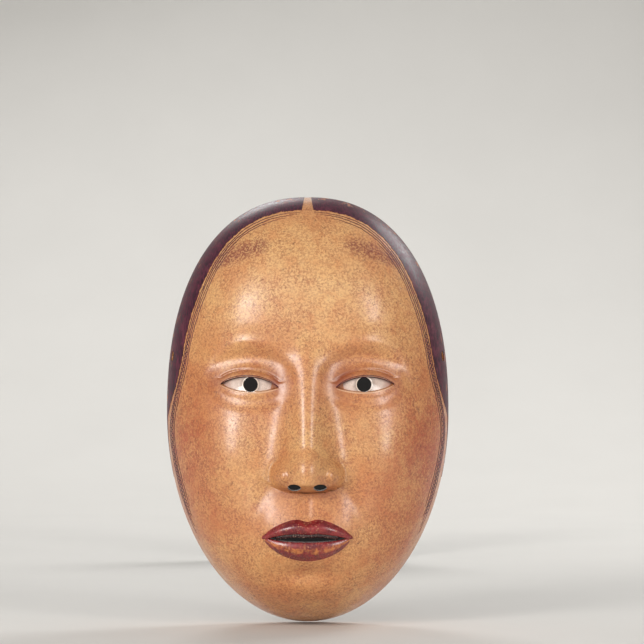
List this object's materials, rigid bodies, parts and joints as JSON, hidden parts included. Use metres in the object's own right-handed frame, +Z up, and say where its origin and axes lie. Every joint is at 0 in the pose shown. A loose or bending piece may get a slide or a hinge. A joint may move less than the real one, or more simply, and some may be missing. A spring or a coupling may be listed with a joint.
{
  "type": "noh theatre mask",
  "caption": "Carved wooden theatre mask of a calm woman's face, an oval shell with a hollow back, pierced pupils, nostrils and lips, side cord holes and inner pads.",
  "frame": {"origin": "on the flat plane of the back rim, midway between the two cord holes", "axes": "+Z up towards the crown, -Y the way the face looks, +X the wearer's left"},
  "size_m": [0.14, 0.0696, 0.2108],
  "materials": {
    "cypress_wood": "satin",
    "flesh_coat": "satin",
    "hair_ink": "satin",
    "lip_colour": "satin",
    "eye_white": "satin",
    "tooth_ink": "gloss",
    "pad_silk": "matte"
  },
  "bodies": {
    "root": {"wood_shell": "cypress_wood", "face_coat": "flesh_coat", "hair_coat_right": "hair_ink", "hair_coat_left": "hair_ink", "upper_lip_coat": "lip_colour", "lower_lip_coat": "lip_colour", "eye_white_right": "eye_white", "eye_white_left": "eye_white", "teeth_coat": "tooth_ink", "forehead_pad_right": "pad_silk", "forehead_pad_left": "pad_silk", "cheek_pad_right": "pad_silk", "cheek_pad_left": "pad_silk"}
  },
  "joints": []
}
